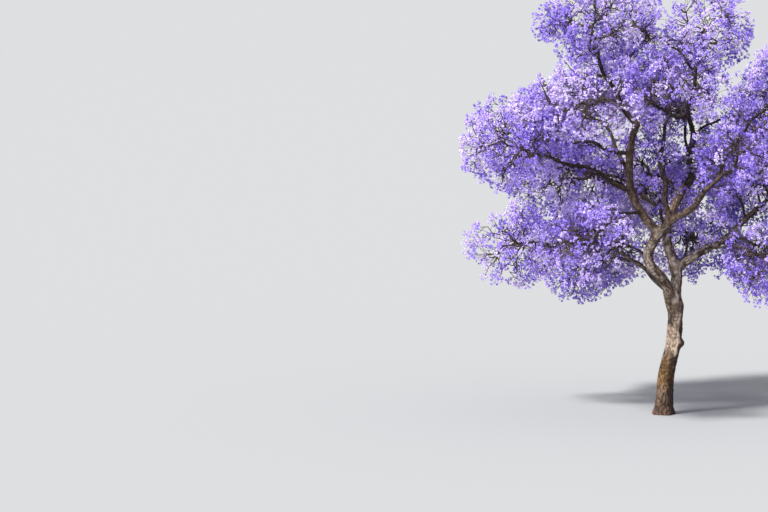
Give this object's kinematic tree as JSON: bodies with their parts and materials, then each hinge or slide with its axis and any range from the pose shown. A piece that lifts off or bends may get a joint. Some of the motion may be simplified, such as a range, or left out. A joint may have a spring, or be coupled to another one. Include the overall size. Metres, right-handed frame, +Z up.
{
  "type": "jacaranda tree",
  "caption": "Mature jacaranda in full bloom: a leaning trunk forks low into sinuous rising limbs under an open rounded crown of violet blossom; its flat foot is fixed to level ground.",
  "frame": {"origin": "middle of the flat cut under the trunk, at ground level", "axes": "+Z up, +X to the right of the side the tree is mostly seen from, +Y away from that side"},
  "size_m": [10.8009, 9.525, 12.4484],
  "materials": {
    "bark": "rough fissured grey-brown bark, paler where it has flaked and ochre with lichen low down",
    "blossom": "soft matt violet-blue trumpet flowers in loose panicles, paler at their tips"
  },
  "bodies": {
    "root": {"back_limb_branch": "bark", "back_limb_lower": "bark", "back_limb_upper": "bark", "blossom_01": "blossom", "blossom_02": "blossom", "blossom_03": "blossom", "blossom_04": "blossom", "blossom_05": "blossom", "blossom_06": "blossom", "blossom_07": "blossom", "blossom_08": "blossom", "blossom_09": "blossom", "blossom_10": "blossom", "blossom_11": "blossom", "blossom_12": "blossom", "blossom_13": "blossom", "blossom_14": "blossom", "blossom_15": "blossom", "blossom_16": "blossom", "blossom_17": "blossom", "blossom_18": "blossom", "blossom_19": "blossom", "blossom_20": "blossom", "blossom_21": "blossom", "blossom_22": "blossom", "blossom_23": "blossom", "blossom_24": "blossom", "blossom_25": "blossom", "blossom_26": "blossom", "blossom_27": "blossom", "bough_01": "bark", "bough_02": "bark", "bough_03": "bark", "bough_04": "bark", "bough_05": "bark", "bough_06": "bark", "bough_07": "bark", "bough_08": "bark", "bough_09": "bark", "bough_10": "bark", "bough_11": "bark", "bough_12": "bark", "bough_13": "bark", "bough_14": "bark", "bough_15": "bark", "bough_16": "bark", "bough_17": "bark", "bough_18": "bark", "front_limb": "bark", "left_limb_high_branch": "bark", "left_limb_low_branch": "bark", "left_limb_lower": "bark", "left_limb_mid_branch": "bark", "left_limb_upper": "bark", "left_stem": "bark", "middle_limb": "bark", "right_bough": "bark", "right_stem": "bark", "trunk": "bark"}
  },
  "joints": []
}
